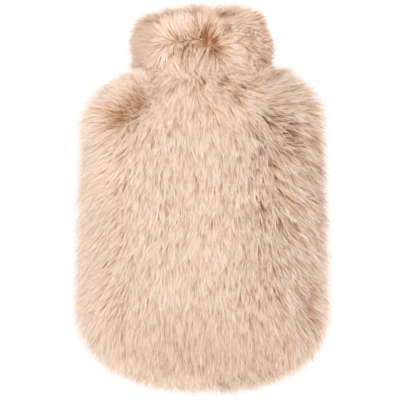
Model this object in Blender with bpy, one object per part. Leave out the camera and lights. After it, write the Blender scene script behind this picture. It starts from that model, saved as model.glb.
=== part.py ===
"""Long-pile cover for a hot water bottle, lying on its back with its mouth towards +Y.

Every wall is pile cloth: its inner face is the knitted backing, and its outer face is how far the pile
reaches. The origin is under the middle of the cover, on the surface it lies on. Lengths are in metres.
"""

import math
import random

import bmesh
import bpy
from mathutils import Vector

# --- Driving dimensions -------------------------------------------------------------------------------
LENGTH = 0.360  # from the locks at the bottom to the top of the collar
LOCK_REACH = 0.005  # how far the locks at the rim stand out past the walls
SEAM_HEIGHT = 0.036  # the side seam, above the surface
SEAM_GAP = 0.002  # half the space between the two panels, which the seam strip fills
CLEARANCE = 0.0003  # between pieces that touch

# The body's plan, seen from above: "up" runs from the bottom end towards the mouth.
HALF_WIDTH_LOW = 0.1135  # at the bottom corners
HALF_WIDTH_HIGH = 0.1085  # at the shoulders
LOW_LINE = 0.088  # up from the bottom end to where its curve meets the sides
HIGH_LINE = 0.242  # up to where the shoulders begin
SHOULDER_TOP = 0.302
NECK_TOP = 0.320
UNEVENNESS = 0.040  # how far the right side reaches past the left at both ends, for each metre across
LOW_CURVE = 2.4  # exponents of the superellipses: 2 is an ellipse, and more is squarer
SHOULDER_CURVE = 2.05
CROWN_START = 0.240  # up to where the crown starts to fall towards the neck
CROWN_CURVE = 2.0

# The body's depth
FRONT_RISE = 0.043  # crown of the front, above the seam
BACK_DROP = 0.0385  # depth of the back before the surface flattens it
PLAN_SQUARENESS = {"front": 2.7, "back": 3.4}  # how full each panel's cross-section is towards its sides
RISE_SQUARENESS = 2.1

# The wall's thickness, backing and pile together
RIM_PILE = 0.020
FRONT_PILE = 0.019
BACK_PILE = 0.0140  # before the surface presses the pile flat
SHOULDER_PILE = 0.022

# The neck is an oval tube round the seam's height, and the collar turns over its outside
NECK_OUTSIDE = (0.042, 0.0235)  # half width and half height
PASSAGE = (0.036, 0.0175)
COLLAR_SLANT = 0.030  # rise of the collar's top edge from left to right, for each metre across
COLLAR_DOME = 0.0065  # how far the edge's highest place stands above that slant
CREST = 0.018  # where that is, to the right of the middle
CREST_REACH = 0.060  # and how far from there the edge is back on the slant

# The collar's section, one row for each ring round the neck: half width, half height, place up the cover,
# and the share of the pile's relief that the ring takes.
COLLAR_RINGS = (
    # half_width, half_height, up, relief
    (0.0360, 0.0175, 0.3203, 0.0),
    (0.0360, 0.0175, 0.3300, 0.0),
    (0.0370, 0.0185, 0.3395, 0.0),
    (0.0400, 0.0210, 0.3443, 0.0),
    (0.0440, 0.0240, 0.3459, 0.0),
    (0.0510, 0.0300, 0.3459, 0.0),
    (0.0565, 0.0345, 0.3434, 0.6),
    (0.0620, 0.0385, 0.3393, 1.0),
    (0.0655, 0.0410, 0.3338, 1.0),
    (0.0670, 0.0422, 0.3275, 1.0),
    (0.0668, 0.0420, 0.3205, 1.0),
    (0.0650, 0.0402, 0.3135, 1.0),
    (0.0620, 0.0368, 0.3075, 0.6),
    (0.0565, 0.0310, 0.3032, 0.0),
    (0.0430, 0.0245, 0.3032, 0.0),
    (0.0430, 0.0245, 0.3203, 0.0),
)
COLLAR_SQUARENESS = 2.3
COLLAR_STEPS = 64  # round the neck

# The pile's relief: locks that overlap like shingles
LOCK_ACROSS = 0.021
LOCK_ALONG = 0.028
LOCK_HEIGHT = 0.0042
COLLAR_LOCK_HEIGHT = 0.0046
LOCK_FAN = 1.35  # how far the locks turn outwards at the sides, in radians

# Soft creases where the cloth is drawn in at the neck, and the parting at the lower right of the rim.
CREASES = (
    # across, up, across at the end, up at the end, half width, depth
    (-0.010, 0.300, -0.012, 0.272, 0.010, 0.0045),
    (0.024, 0.298, 0.029, 0.262, 0.007, 0.0045),
    (-0.050, 0.296, -0.072, 0.262, 0.011, 0.0045),
    (0.055, 0.298, 0.086, 0.262, 0.009, 0.0035),
    (0.105, 0.098, 0.103, 0.052, 0.006, 0.0045),
    (-0.062, 0.150, -0.056, 0.070, 0.010, 0.0020),
)

# Rows and columns of the panels' faces
FRONT_STEPS = {"low": 11, "side": 22, "shoulder": 12, "neck": 2, "outer": 44, "inner": 16}
BACK_STEPS = {"low": 8, "side": 13, "shoulder": 9, "neck": 2, "outer": 32, "inner": 14}

# The locks that stand out of the seam and round the mouth
SEAM_LOCKS = 132
MOUTH_LOCKS = 44
STRIP_SPAN = (0.25, 0.85)  # the seam strip's edges, as shares of the rim's thickness from its outside
MOUTH_STRIP_THICKNESS = 0.0022
MOUTH_LOCK_REACH = 0.011
LOCK_SHARE = 0.8  # of each lock's pitch, the rest being the gap to the next

PILE_COLOUR = (0.80, 0.62, 0.49, 1.0)
BACK_COLOUR = (0.76, 0.58, 0.45, 1.0)
LOCK_COLOUR = (0.86, 0.70, 0.58, 1.0)


# --- Small tools --------------------------------------------------------------------------------------
def smooth_step(low, high, value):
    """0 below low, 1 above high and a soft rise between them."""
    share = min(1.0, max(0.0, (value - low) / (high - low)))
    return share * share * (3 - 2 * share)


def signed_power(value, power):
    return math.copysign(abs(value) ** power, value)


def bow(share, curve):
    """A superellipse's height where its other axis has this share: 1 at 0, and 0 at 1."""
    return max(0.0, 1 - abs(share) ** curve) ** (1 / curve)


def mix(a, b, share):
    return a + (b - a) * share


def pile_cloth(name, colour):
    material = bpy.data.materials.new(name)
    material.use_nodes = True
    shader = material.node_tree.nodes["Principled BSDF"]
    shader.inputs["Base Color"].default_value = colour
    shader.inputs["Roughness"].default_value = 0.9
    shader.inputs["Metallic"].default_value = 0.0
    return material


def finished(name, mesh, material):
    """Turns a bmesh, whose places count up from the bottom end, into a named object."""
    bmesh.ops.recalc_face_normals(mesh, faces=mesh.faces)
    data = bpy.data.meshes.new(name)
    mesh.to_mesh(data)
    mesh.free()
    data.shade_smooth()
    data.set_sharp_from_angle(angle=math.radians(50))
    data.materials.append(material)
    made = bpy.data.objects.new(name, data)
    made.location = (0, -LENGTH / 2, 0)
    bpy.context.scene.collection.objects.link(made)
    return made


# --- The pile's relief --------------------------------------------------------------------------------
def lock_roots(width, length, seed):
    """Places of the locks on a flat layout: staggered rows, each lock a little out of line."""
    chance = random.Random(seed)
    roots = []
    for row in range(int(length / LOCK_ALONG) + 2):
        shift = 0.5 * LOCK_ACROSS * (row % 2)
        for column in range(int(width / LOCK_ACROSS) + 2):
            across = -width / 2 + column * LOCK_ACROSS + shift + chance.uniform(-0.3, 0.3) * LOCK_ACROSS
            up = row * LOCK_ALONG + chance.uniform(-0.3, 0.3) * LOCK_ALONG
            roots.append((across, up, chance.uniform(0.7, 1.15)))
    return roots


def lock_relief(across, up, roots, lean):
    """How far the pile stands proud here: each lock rises slowly from its root and drops at its tip."""
    best = 0.0
    along_x, along_y = math.sin(lean), -math.cos(lean)
    for root_across, root_up, size in roots:
        dx, dy = across - root_across, up - root_up
        if abs(dx) > 0.045 or abs(dy) > 0.045:
            continue
        along = (dx * along_x + dy * along_y) / (1.5 * LOCK_ALONG * size)
        beside = (dx * along_y - dy * along_x) / (0.75 * LOCK_ACROSS * size)
        if not 0 < along < 1 or abs(beside) > 1 - 0.45 * along:
            continue
        rise = along * (1 - smooth_step(0.75, 1.0, along))
        best = max(best, size * rise * (1 - beside * beside) / 0.75)
    return best


def crease_depth(across, up):
    """How deep the creases are here."""
    depth = 0.0
    for x0, y0, x1, y1, half_width, deep in CREASES:
        dx, dy = x1 - x0, y1 - y0
        share = ((across - x0) * dx + (up - y0) * dy) / (dx * dx + dy * dy)
        nearest = min(1.0, max(0.0, share))
        away = math.hypot(across - x0 - nearest * dx, up - y0 - nearest * dy)
        depth = max(depth, deep * math.exp(-((away / half_width) ** 2)))
    return depth


def lengthened(across, up):
    """The place up the cover, with the right side reaching past the left at the shoulder and the bottom."""
    shoulder = smooth_step(0.17, 0.28, up) * smooth_step(NECK_OUTSIDE[0], 0.085, abs(across))
    return up + UNEVENNESS * across * (shoulder - smooth_step(0.13, 0.04, up))


def lean_of(across_share):
    """The way the pile lies: straight down the middle, and turning outwards at the sides."""
    return LOCK_FAN * signed_power(across_share, 2.5)


# --- The body -----------------------------------------------------------------------------------------
def stations(steps, inner):
    """The panel's rows from the bottom end to the neck. Each is its place up, its half width, its rise in
    front, its drop at the back, and how much of the neck's shape it has.
    """
    inset = RIM_PILE if inner else 0.0
    low_depth = LOW_LINE - LOCK_REACH - inset
    top = SHOULDER_TOP - (SHOULDER_PILE if inner else 0.0)
    neck_width, neck_height = PASSAGE if inner else NECK_OUTSIDE
    front = FRONT_RISE - (FRONT_PILE if inner else 0.0)
    back = BACK_DROP - (BACK_PILE if inner else 0.0)
    low, high = HALF_WIDTH_LOW - inset, HALF_WIDTH_HIGH - inset
    rows = []
    for step in range(1, steps["low"] + 1):
        share = math.cos(0.5 * math.pi * step / steps["low"])
        bulge = bow(share, LOW_CURVE)
        rows.append((LOW_LINE - low_depth * share, low * bulge, front * bulge, back * bulge))
    for step in range(1, steps["side"] + 1):
        share = step / steps["side"]
        rows.append((mix(LOW_LINE, HIGH_LINE, share), mix(low, high, share), front, back))
    for step in range(1, steps["shoulder"] + 1):
        share = math.sin(0.5 * math.pi * step / steps["shoulder"])
        half = neck_width + (high - neck_width) * bow(share, SHOULDER_CURVE)
        rows.append((mix(HIGH_LINE, top, share), half, front, back))
    for step in range(1, steps["neck"] + 1):
        rows.append((mix(top, NECK_TOP, step / steps["neck"]), neck_width, neck_height, neck_height))
    # The crown rounds over at the shoulders as they do in plan, down to the neck.
    swept = []
    for up, half, rise, drop in rows:
        fall = 1 - bow(min(1.0, max(0.0, (up - CROWN_START) / (top - CROWN_START))), CROWN_CURVE)
        swept.append((up, half, mix(rise, neck_height, fall), mix(drop, neck_height, fall), fall))
    return swept


def section_point(side, up, half, depth, share, neck):
    """A point of the panel's cross-section, this share of the way from its left seam to its right one.

    The body's section is lifted clear of the seam, and the neck's is trimmed there, so that it stays oval.
    """
    plan = mix(PLAN_SQUARENESS[side], COLLAR_SQUARENESS, neck)
    rise = mix(RISE_SQUARENESS, COLLAR_SQUARENESS, neck)
    trim = math.asin((SEAM_GAP * neck / depth) ** (rise / 2)) if neck else 0.0
    angle = mix(trim, math.pi - trim, share)
    across = -half * signed_power(math.cos(angle), 2 / plan)
    away = depth * abs(math.sin(angle)) ** (2 / rise) + SEAM_GAP * (1 - neck)
    height = SEAM_HEIGHT + away if side == "front" else max(0.0, SEAM_HEIGHT - away)
    return Vector((across, lengthened(across, up), height))


def panel_surface(mesh, side, steps, inner):
    """Rows of points over one face of a panel. The first row is the single point at the bottom end."""
    columns = steps["inner"] if inner else steps["outer"]
    places = []
    for up, half, rise, drop, neck in stations(steps, inner):
        depth = rise if side == "front" else drop
        row = [section_point(side, up, half, depth, k / columns, neck) for k in range(columns + 1)]
        places.append(row)
    pole_up = LOCK_REACH + (RIM_PILE if inner else 0.0)
    pole = section_point(side, pole_up, 0.0, 0.0, 0.0, 0.0)
    if not inner:
        places = with_relief(side, places)
    rows = [[mesh.verts.new(pole)]]
    rows += [[mesh.verts.new(place) for place in row] for row in places]
    return rows


def with_relief(side, places):
    """The outer face with its locks and creases raised and sunk along the face's own normal."""
    roots = lock_roots(2 * HALF_WIDTH_LOW + LOCK_ACROSS, SHOULDER_TOP, seed=len(side))
    raised = []
    for i, row in enumerate(places):
        new_row = []
        for j, place in enumerate(row):
            across = row[min(j + 1, len(row) - 1)] - row[max(j - 1, 0)]
            below, above = places[max(i - 1, 0)][j], places[min(i + 1, len(places) - 1)][j]
            normal = across.cross(above - below) if side == "front" else (above - below).cross(across)
            on_seam = j in (0, len(row) - 1)
            if on_seam:  # the pile leaves the seam level, so the panel's edge stays flat
                normal.z = 0.0
            if normal.length < 1e-9:
                new_row.append(place)
                continue
            half = max(abs(row[0].x), 1e-6)
            height = LOCK_HEIGHT * lock_relief(place.x, place.y, roots, lean_of(place.x / half))
            if side == "front":
                height -= crease_depth(place.x, place.y)
            height *= 1 - smooth_step(SHOULDER_TOP - 0.016, SHOULDER_TOP - 0.004, place.y)
            height *= smooth_step(0.0, 0.02, half)
            moved = place + normal.normalized() * height
            moved.z = max(0.0, moved.z) if place.z > 1e-6 else 0.0
            new_row.append(moved)
        raised.append(new_row)
    return raised


def panel(name, side, steps, material):
    """One panel: outer face, inner face, the flat edge along the seam and the end of the neck."""
    mesh = bmesh.new()
    outer = panel_surface(mesh, side, steps, inner=False)
    inner = panel_surface(mesh, side, steps, inner=True)
    for rows in (outer, inner):
        for a, b in zip(rows[1][:-1], rows[1][1:]):
            mesh.faces.new((rows[0][0], a, b))
        for low, high in zip(rows[1:-1], rows[2:]):
            for k in range(len(low) - 1):
                mesh.faces.new((low[k], low[k + 1], high[k + 1], high[k]))
    for edge in (0, -1):
        for k in range(len(outer) - 1):
            mesh.faces.new((outer[k][edge], outer[k + 1][edge], inner[k + 1][edge], inner[k][edge]))
    mesh.faces.new(outer[-1] + inner[-1][::-1])
    return finished(name, mesh, material)


# --- The collar ---------------------------------------------------------------------------------------
def oval(half_width, half_height, up, angle):
    """A point of a ring round the neck. The surface under the collar flattens it."""
    power = 2 / COLLAR_SQUARENESS
    across = half_width * signed_power(math.cos(angle), power)
    height = SEAM_HEIGHT + half_height * signed_power(math.sin(angle), power)
    dome = COLLAR_DOME * max(0.0, 1 - ((across - CREST) / CREST_REACH) ** 2)
    slant = (COLLAR_SLANT * across + dome) * smooth_step(NECK_TOP + 0.001, 0.345, up)
    return Vector((across, up + slant, max(0.0, height)))


def collar(material):
    """The tube of pile cloth, turned over at the mouth, with its hem resting over the shoulders."""
    mesh = bmesh.new()
    girth = 2 * math.pi * 0.055
    roots = lock_roots(girth, 0.075, seed=11)
    roots += [(across + turn * girth, up, size) for across, up, size in roots for turn in (-1, 1)]
    rings = []
    for half_width, half_height, up, share in COLLAR_RINGS:
        ring = []
        for step in range(COLLAR_STEPS):
            angle = 2 * math.pi * step / COLLAR_STEPS
            round_place = girth * (step / COLLAR_STEPS - 0.5)
            height = COLLAR_LOCK_HEIGHT * share * lock_relief(round_place, up - 0.292, roots, 0.0)
            if share:
                height -= 0.5 * COLLAR_LOCK_HEIGHT * share
            ring.append(mesh.verts.new(oval(half_width + height, half_height + height, up, angle)))
        rings.append(ring)
    for ring, following in zip(rings, rings[1:] + rings[:1]):
        for k in range(COLLAR_STEPS):
            after = (k + 1) % COLLAR_STEPS
            mesh.faces.new((ring[k], ring[after], following[after], following[k]))
    return finished("collar", mesh, material)


# --- The locks at the rim -----------------------------------------------------------------------------
def seam_path():
    """Pairs of points along the seam, on the outside and the inside of the rim, from neck to neck."""
    outer, inner = stations(FRONT_STEPS, inner=False), stations(FRONT_STEPS, inner=True)
    side = [((o[1], o[0]), (i[1], i[0])) for o, i in zip(outer, inner)]
    side[-1] = tuple((across, up - CLEARANCE) for across, up in side[-1])
    left = [((-a, b), (-c, d)) for (a, b), (c, d) in reversed(side)]
    bottom = [((0.0, LOCK_REACH), (0.0, LOCK_REACH + RIM_PILE))]
    return [tuple((x, lengthened(x, up)) for x, up in pair) for pair in left + bottom + side]


def evenly(pairs, count):
    """The pairs again, at count + 1 places that are evenly spaced along the outside."""
    along = [0.0]
    for (a, _), (b, _) in zip(pairs[:-1], pairs[1:]):
        along.append(along[-1] + math.dist(a, b))
    spaced, k = [], 0
    for step in range(count + 1):
        wanted = along[-1] * step / count
        while k < len(pairs) - 2 and along[k + 1] < wanted:
            k += 1
        share = (wanted - along[k]) / (along[k + 1] - along[k])
        points = []
        for near, far in zip(pairs[k], pairs[k + 1]):
            points.append(Vector((mix(near[0], far[0], share), mix(near[1], far[1], share))))
        spaced.append(points)
    return spaced


def grow_lock(mesh, face, stages):
    """Extrudes a face of a strip into a lock. Each stage is a middle for the new end and its scale."""
    for middle, scale in stages:
        face = bmesh.ops.extrude_discrete_faces(mesh, faces=[face])["faces"][0]
        centre = face.calc_center_median()
        for vert in face.verts:
            vert.co = middle + (vert.co - centre) * scale
    bmesh.ops.pointmerge(mesh, verts=face.verts, merge_co=face.calc_center_median())


def strip(mesh, sections, closed):
    """A band through square sections, each four points in order round it. Returns its outer faces."""
    rings = [[mesh.verts.new(point) for point in section] for section in sections]
    followers = rings[1:] + (rings[:1] if closed else [])
    outside = []
    for ring, following in zip(rings, followers):
        for k in range(4):
            after = (k + 1) % 4
            face = mesh.faces.new((ring[k], following[k], following[after], ring[after]))
            if k == 0:
                outside.append(face)
    if not closed:
        mesh.faces.new(rings[0])
        mesh.faces.new(rings[-1][::-1])
    bmesh.ops.recalc_face_normals(mesh, faces=mesh.faces)
    return outside


def paired(points):
    """Each stretch between two places cut in two: a lock's root, and the gap after it."""
    cut = []
    for here, following in zip(points[:-1], points[1:]):
        cut.append(here)
        cut.append([mix(a, b, LOCK_SHARE) for a, b in zip(here, following)])
    return cut + [points[-1]]


def seam_locks(material):
    """The strip that fills the seam between the panels, and the locks of pile that stand out of it."""
    mesh = bmesh.new()
    chance = random.Random(5)
    half = SEAM_GAP - CLEARANCE
    sections = []
    for outside, inside in paired(evenly(seam_path(), SEAM_LOCKS)):
        near, far = (outside.lerp(inside, share) for share in STRIP_SPAN)
        corners = ((near, -half), (near, half), (far, half), (far, -half))
        sections.append([Vector((p.x, p.y, SEAM_HEIGHT + dz)) for p, dz in corners])
    faces = strip(mesh, sections, closed=False)[::2]
    for face in faces:
        root = face.calc_center_median()
        if root.y > SHOULDER_TOP - 0.009:  # under the collar the seam is bare
            continue
        outward = face.normal.copy()
        root_depth = STRIP_SPAN[0] * RIM_PILE
        droop = Vector((0, -1, 0)) * chance.uniform(0.0, 0.0022)
        reach = LOCK_REACH * chance.uniform(0.75, 1.0)
        lift = Vector((0, 0, chance.uniform(-0.0022, 0.0022)))
        middle = root + outward * (root_depth + 0.0012) + droop * 0.3
        tip = root + outward * (root_depth + reach) + droop + lift
        grow_lock(mesh, face, ((middle, 0.8), (tip, 0.4)))
    return finished("seam_locks", mesh, material)


def mouth_locks(material):
    """The strip along the collar's folded top edge, and the locks that stand out of it all round."""
    mesh = bmesh.new()
    chance = random.Random(9)
    ring = COLLAR_RINGS[4]
    following = COLLAR_RINGS[5]
    base = ring[2] + CLEARANCE
    inner, outer = (ring[0] + 0.001, ring[1] + 0.001), (following[0] - 0.001, following[1] - 0.001)
    angles = []
    for lock in range(MOUTH_LOCKS):
        angles += [2 * math.pi * (lock + share) / MOUTH_LOCKS for share in (0.0, LOCK_SHARE)]
    sections = []
    for angle in angles:
        corners = (
            (outer, base),
            (outer, base + MOUTH_STRIP_THICKNESS),
            (inner, base + MOUTH_STRIP_THICKNESS),
            (inner, base),
        )
        sections.append([oval(*size, up, angle) for size, up in corners])
    for face in strip(mesh, sections, closed=True)[::2]:
        root = face.calc_center_median()
        outward = face.normal.copy()
        outward.y = 0.0
        outward.normalize()
        upward = Vector((0, 1, 0))
        reach = MOUTH_LOCK_REACH * chance.uniform(0.75, 1.0)
        middle = root + outward * 0.45 * reach + upward * 0.0018
        tip = root + outward * 0.8 * reach + upward * chance.uniform(0.0030, 0.0045)
        middle.z, tip.z = max(0.0022, middle.z), max(0.0012, tip.z)
        grow_lock(mesh, face, ((middle, 0.85), (tip, 0.45)))
    return finished("mouth_locks", mesh, material)


# --- The whole cover ----------------------------------------------------------------------------------
def centre_on_origin(pieces):
    """Moves the pieces together, so that the origin is under the middle of the whole cover."""
    bpy.context.view_layer.update()
    corners = [piece.matrix_world @ Vector(corner) for piece in pieces for corner in piece.bound_box]
    low = Vector([min(corner[axis] for corner in corners) for axis in range(3)])
    high = Vector([max(corner[axis] for corner in corners) for axis in range(3)])
    middle = (low + high) / 2
    for piece in pieces:
        piece.location -= Vector((middle.x, middle.y, low.z))


def main():
    for old in list(bpy.data.objects):
        bpy.data.objects.remove(old)
    pile = pile_cloth("pile cloth", PILE_COLOUR)
    back = pile_cloth("pressed pile cloth", BACK_COLOUR)
    locks = pile_cloth("lock tips", LOCK_COLOUR)
    pieces = [
        panel("front_panel", "front", FRONT_STEPS, pile),
        panel("back_panel", "back", BACK_STEPS, back),
        collar(pile),
        seam_locks(locks),
        mouth_locks(locks),
    ]
    centre_on_origin(pieces)


main()
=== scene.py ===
"""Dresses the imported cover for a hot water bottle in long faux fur, and sets it on a pale floor.

The cover is sewn from thin knitted cloth with pile growing out of it. The pile is made of locks. Each is a
group of hairs that stand apart at their roots, lean the way the fur is combed and draw together towards
their tips. Places on the cover are "across" from its middle line, and "up" from its bottom end towards its
mouth. Lengths are in metres, and in the tables of rings, strokes and partings in millimetres.
"""

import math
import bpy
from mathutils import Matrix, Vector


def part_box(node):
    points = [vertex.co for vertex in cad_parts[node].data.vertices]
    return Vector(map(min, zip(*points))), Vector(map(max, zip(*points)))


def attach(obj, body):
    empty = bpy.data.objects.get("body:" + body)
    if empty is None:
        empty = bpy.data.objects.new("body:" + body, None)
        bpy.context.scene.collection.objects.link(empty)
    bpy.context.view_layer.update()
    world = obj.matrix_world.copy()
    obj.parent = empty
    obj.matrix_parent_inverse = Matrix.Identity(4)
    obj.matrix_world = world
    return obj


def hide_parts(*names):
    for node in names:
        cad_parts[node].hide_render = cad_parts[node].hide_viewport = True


bl_info = {
    "name": "Faux Fur Bottle Cover",
    "version": (1, 0, 0),
    "blender": (4, 5, 0),
    "location": "3D View > Sidebar > Bottle Cover",
    "description": "Knitted cloth, long combed pile and a plain studio for a hot water bottle cover",
    "category": "Object",
}

from types import SimpleNamespace

import bpy
import numpy as np
from mathutils import Vector, noise

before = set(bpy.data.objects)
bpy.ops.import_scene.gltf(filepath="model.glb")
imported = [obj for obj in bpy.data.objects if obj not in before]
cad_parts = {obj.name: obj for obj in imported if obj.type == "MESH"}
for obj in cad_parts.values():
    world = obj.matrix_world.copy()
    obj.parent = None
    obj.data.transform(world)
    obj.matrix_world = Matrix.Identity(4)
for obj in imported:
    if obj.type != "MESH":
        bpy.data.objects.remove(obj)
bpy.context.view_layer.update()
BODY = "root"

# --- The cover's form, as its solids have it ---
LOCK_REACH = 0.005  # how far the locks at the rim stand out past the walls
SEAM_HEIGHT, SEAM_GAP = 0.036, 0.002  # the gap is half the space between the two panels
HALF_WIDTH_LOW, HALF_WIDTH_HIGH = 0.1135, 0.1085
LOW_LINE, HIGH_LINE = 0.088, 0.242
SHOULDER_TOP, NECK_TOP = 0.302, 0.320
LOW_CURVE, SHOULDER_CURVE, CROWN_CURVE = 2.4, 2.05, 2.0
CROWN_START = 0.240  # where the crown starts to fall towards the neck
FRONT_RISE, BACK_DROP = 0.043, 0.0385
PLAN_SQUARENESS = {"front": 2.7, "back": 3.4}
RISE_SQUARENESS, NECK_SQUARENESS = 2.1, 2.3
RIM_PILE, FRONT_PILE, BACK_PILE, SHOULDER_PILE = 0.020, 0.019, 0.0140, 0.022
NECK_OUTSIDE, PASSAGE = (0.042, 0.0235), (0.036, 0.0175)  # half widths and half heights
COLLAR_SLANT, COLLAR_DOME = 0.030, 0.0065
CREST, CREST_REACH = 0.018, 0.060  # where the dome is highest, and how far from there it ends
UNEVENNESS = 0.040  # how much higher the shoulder is, for each metre to the right

# Each pair is where a change starts, and where it is full
SLANTED_UP = (NECK_TOP + 0.001, 0.345)
UNEVEN_SHOULDER, UNEVEN_END = (0.17, 0.28), (0.13, 0.04)
UNEVEN_ACROSS = (NECK_OUTSIDE[0], 0.085)

UP_AT_ORIGIN = NECK_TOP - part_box("front_panel")[1].y  # how far up the cover the frame's origin is

# Rows of the panels' grids: at the bottom, the sides, the shoulders and the neck
PILE_ROWS, CLOTH_ROWS = (40, 60, 40, 4), (14, 22, 18, 6)
PILE_COLUMNS, CLOTH_COLUMNS = 110, 49
PILE_STEPS, CLOTH_STEPS = 160, 72  # round the collar

# The collar in millimetres, one row for each ring round the neck, from inside the mouth to the hem
COLLAR_RINGS = (
    # the cloth's half width, half height and place up, then the same three for the pile's tips
    (36.6, 18.1, 320.6, 33.5, 15.0, 333.0),
    (37.5, 19.0, 327.0, 33.0, 15.0, 340.0),
    (38.5, 20.0, 332.0, 36.5, 18.0, 344.5),
    (40.5, 21.5, 335.0, 40.5, 21.5, 349.0),
    (44.0, 24.5, 336.5, 44.0, 25.5, 352.0),
    (47.5, 27.5, 335.5, 50.5, 31.5, 350.0),
    (49.5, 29.5, 332.5, 57.2, 36.5, 344.5),
    (50.5, 30.5, 330.0, 63.2, 40.0, 338.0),
    (50.8, 30.8, 324.0, 66.8, 42.0, 328.5),
    (50.5, 30.5, 317.0, 67.2, 42.0, 317.0),
    (50.0, 30.0, 310.0, 64.0, 40.0, 305.0),
    (49.5, 29.5, 304.0, 59.0, 38.5, 290.0),
)

# --- How the pile lies ---
# Strokes of the comb over the front: across and up in millimetres, and the pile's way there in degrees
# from straight down. Ways to the right are positive, and ways to the left negative.
BODY_STROKES = (
    (-62, 292, -125), (-85, 278, -112), (-101, 260, -97), (-107, 240, -85), (-107, 218, -62),
    (-104, 195, -45), (-82, 235, -40), (-66, 235, -15), (-32, 290, -46), (-46, 278, -24), (-50, 256, -20),
    (-20, 278, -18), (-9, 275, 2), (8, 284, 36), (20, 272, 30), (36, 286, 48), (50, 270, 42), (34, 250, 18),
    (62, 248, 18), (70, 282, 62), (86, 272, 66), (102, 256, 74), (107, 236, 74), (78, 256, 44),
    (90, 225, 35), (108, 205, 62), (106, 182, 50), (56, 297, 120), (-52, 298, -140),
)
COLLAR_STROKES = (
    (-36, 346, -155), (-45, 335, -129), (-59, 330, -105), (-55, 321, -88), (-50, 311, -65), (-48, 301, -20),
    (-21, 349, -174), (-8, 346, 179), (-31, 337, -162), (-21, 334, -176), (-10, 333, 180), (1, 336, 176),
    (16, 344, 165), (25, 339, 145), (16, 332, 150), (39, 337, 120), (53, 330, 105), (53, 318, 85),
    (39, 314, 80), (28, 322, 100), (30, 305, 45), (50, 303, 25), (16, 303, 30), (-22, 316, 30),
    (-27, 307, 55), (-14, 312, 6), (-8, 307, 0), (0, 311, -30), (3, 302, -50),
)
BODY_STROKE_REACH, COLLAR_STROKE_REACH = 0.014, 0.008
STROKE_HOLD = 12.0  # how much more a stroke counts, at its middle, than the combing round it

# Lines where the pile parts, with their ends and radius in millimetres. Push is how far the pile is combed
# away from the line, openness how far it stands up there, and shade its painted shade, darker and warmer.
BODY_PARTINGS = (
    # across, up, across at the end, up at the end, radius, push, openness, shade
    (-86, 253, -60, 276, 25, 0.4, 0.90, 0.62),
    (81, 240, 93, 227, 11, 0.2, 0.60, 0.75),
    (27, 282, 27, 272, 7, 0.4, 0.45, 0.80),
    (64, 263.3, 69, 251, 6, 0.0, 0.20, 0.25),
    (14, 305, 14, 287.6, 7, 0.3, 0.40, 0.80),
    (108, 102, 106, 60, 6, 1.2, 0.45, 0.50),
    (56, 298, 62, 293, 10, 0.2, 0.30, 0.80),
    (-56, 296, -62, 291, 10, 0.0, 0.30, 0.40),
)
COLLAR_PARTINGS = (
    (-31, 325, -5, 329, 10, 0.0, 0.60, 0.1),
    (-4, 331.5, -2, 328.5, 3.4, 0.2, 0.60, 1.4),
    (5, 331, 4, 327, 4, 0.2, 0.60, 1.4),
    (6, 320.5, 7.2, 316.5, 3.4, 0.2, 0.60, 1.4),
    (12, 325, 14.5, 329, 3.4, 0.2, 0.60, 1.3),
    (11, 312.4, 18.3, 316.9, 4, 0.3, 0.40, 1.1),
    (22, 335.3, 25.6, 342.6, 4, 0.4, 0.20, 1.0),
    (3.7, 355.4, 4.6, 353.7, 4.5, 0.3, 0.40, 1.0),
)
# Tufts of longer pile: across, up, radius, and how much longer it is
TUFTS = ((0.060, 0.277, 0.012, 0.003), (0.052, 0.272, 0.010, 0.005))
PINCH = (-0.0097, 0.2990)  # across and up, where the neck is drawn in and the pile meets
PINCH_WIDTH, PINCH_UP, PINCH_HOLD = 0.030, (0.262, 0.282), 0.85  # and how it draws the body's
COLLAR_PINCH_DROP, COLLAR_PINCH_HOLD = 0.006, 0.9  # the collar's meets a little below
LEAST_DROP = 0.004  # how far down it leads at least
FLOW_REACH = 0.007  # how far along its way the pile's visible end lies
SIDE_POWER = 4.5  # how late, towards the body's sides, its pile turns outwards
OVER_SHOULDER_UP, OVER_SHOULDER_SHARE = (0.225, 0.285), (0.25, 0.75)  # of the way to the side
COLLAR_MIDDLE = (0.323, 0.03)  # up and above the seam, the point that its pile leads away from
LOOK_NARROWER = 1.8  # how much narrower a parting looks than what it pushes

# How the pile's lie and look vary
NOISE_SEED = 6  # without it, the noise would change from run to run
CLUMPING = 0.40  # how far the pile draws into clumps
CLUMP_VALLEY = (-0.05, -0.42)  # the noise where a valley between clumps starts, and is deep
VALLEY_SHADE = 0.08  # painted shade: how much darker the tint is in these valleys
PARTING_SHADE = 0.40  # painted shade: how much warmer and darker the tint is where the pile parts
EVEN_TONE, COLLAR_TONE = 0.5, 0.47  # of plain locks, on the body and on the collar
RIM_SHADE = 0.30  # painted shade: how far the tint of the rim's loose hair, which faces sideways, is darkened
RIM_REACH = 0.0112  # how far the rim's loose hair reaches past the solids' own
RIM_FACING = (0.08, 0.6)  # how far from upright the pile grows, where it starts to be smooth, and is
RIGHT_ROUGHNESS = 0.6  # how much of that smoothness the right side lacks
OPEN_LIFT = 0.8  # how far the pile turns upwards where it parts
SHADED_SHORTNESS = 0.40  # how much shorter it is in a parting's shade
NECK_PILE = 0.0160  # how high the pile stands in front of the neck
CORNER_DROP = 0.007  # how much shorter it is at the collar's upper right corner
LEFT_CORNER = 0.5  # the share of this at the upper left
NECK_EDGE, NECK_EDGE_REACH = (0.052, 0.292), 0.012  # where it spreads beside the neck
THICK_END = 0.302  # above here, the pile is thicker


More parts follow.
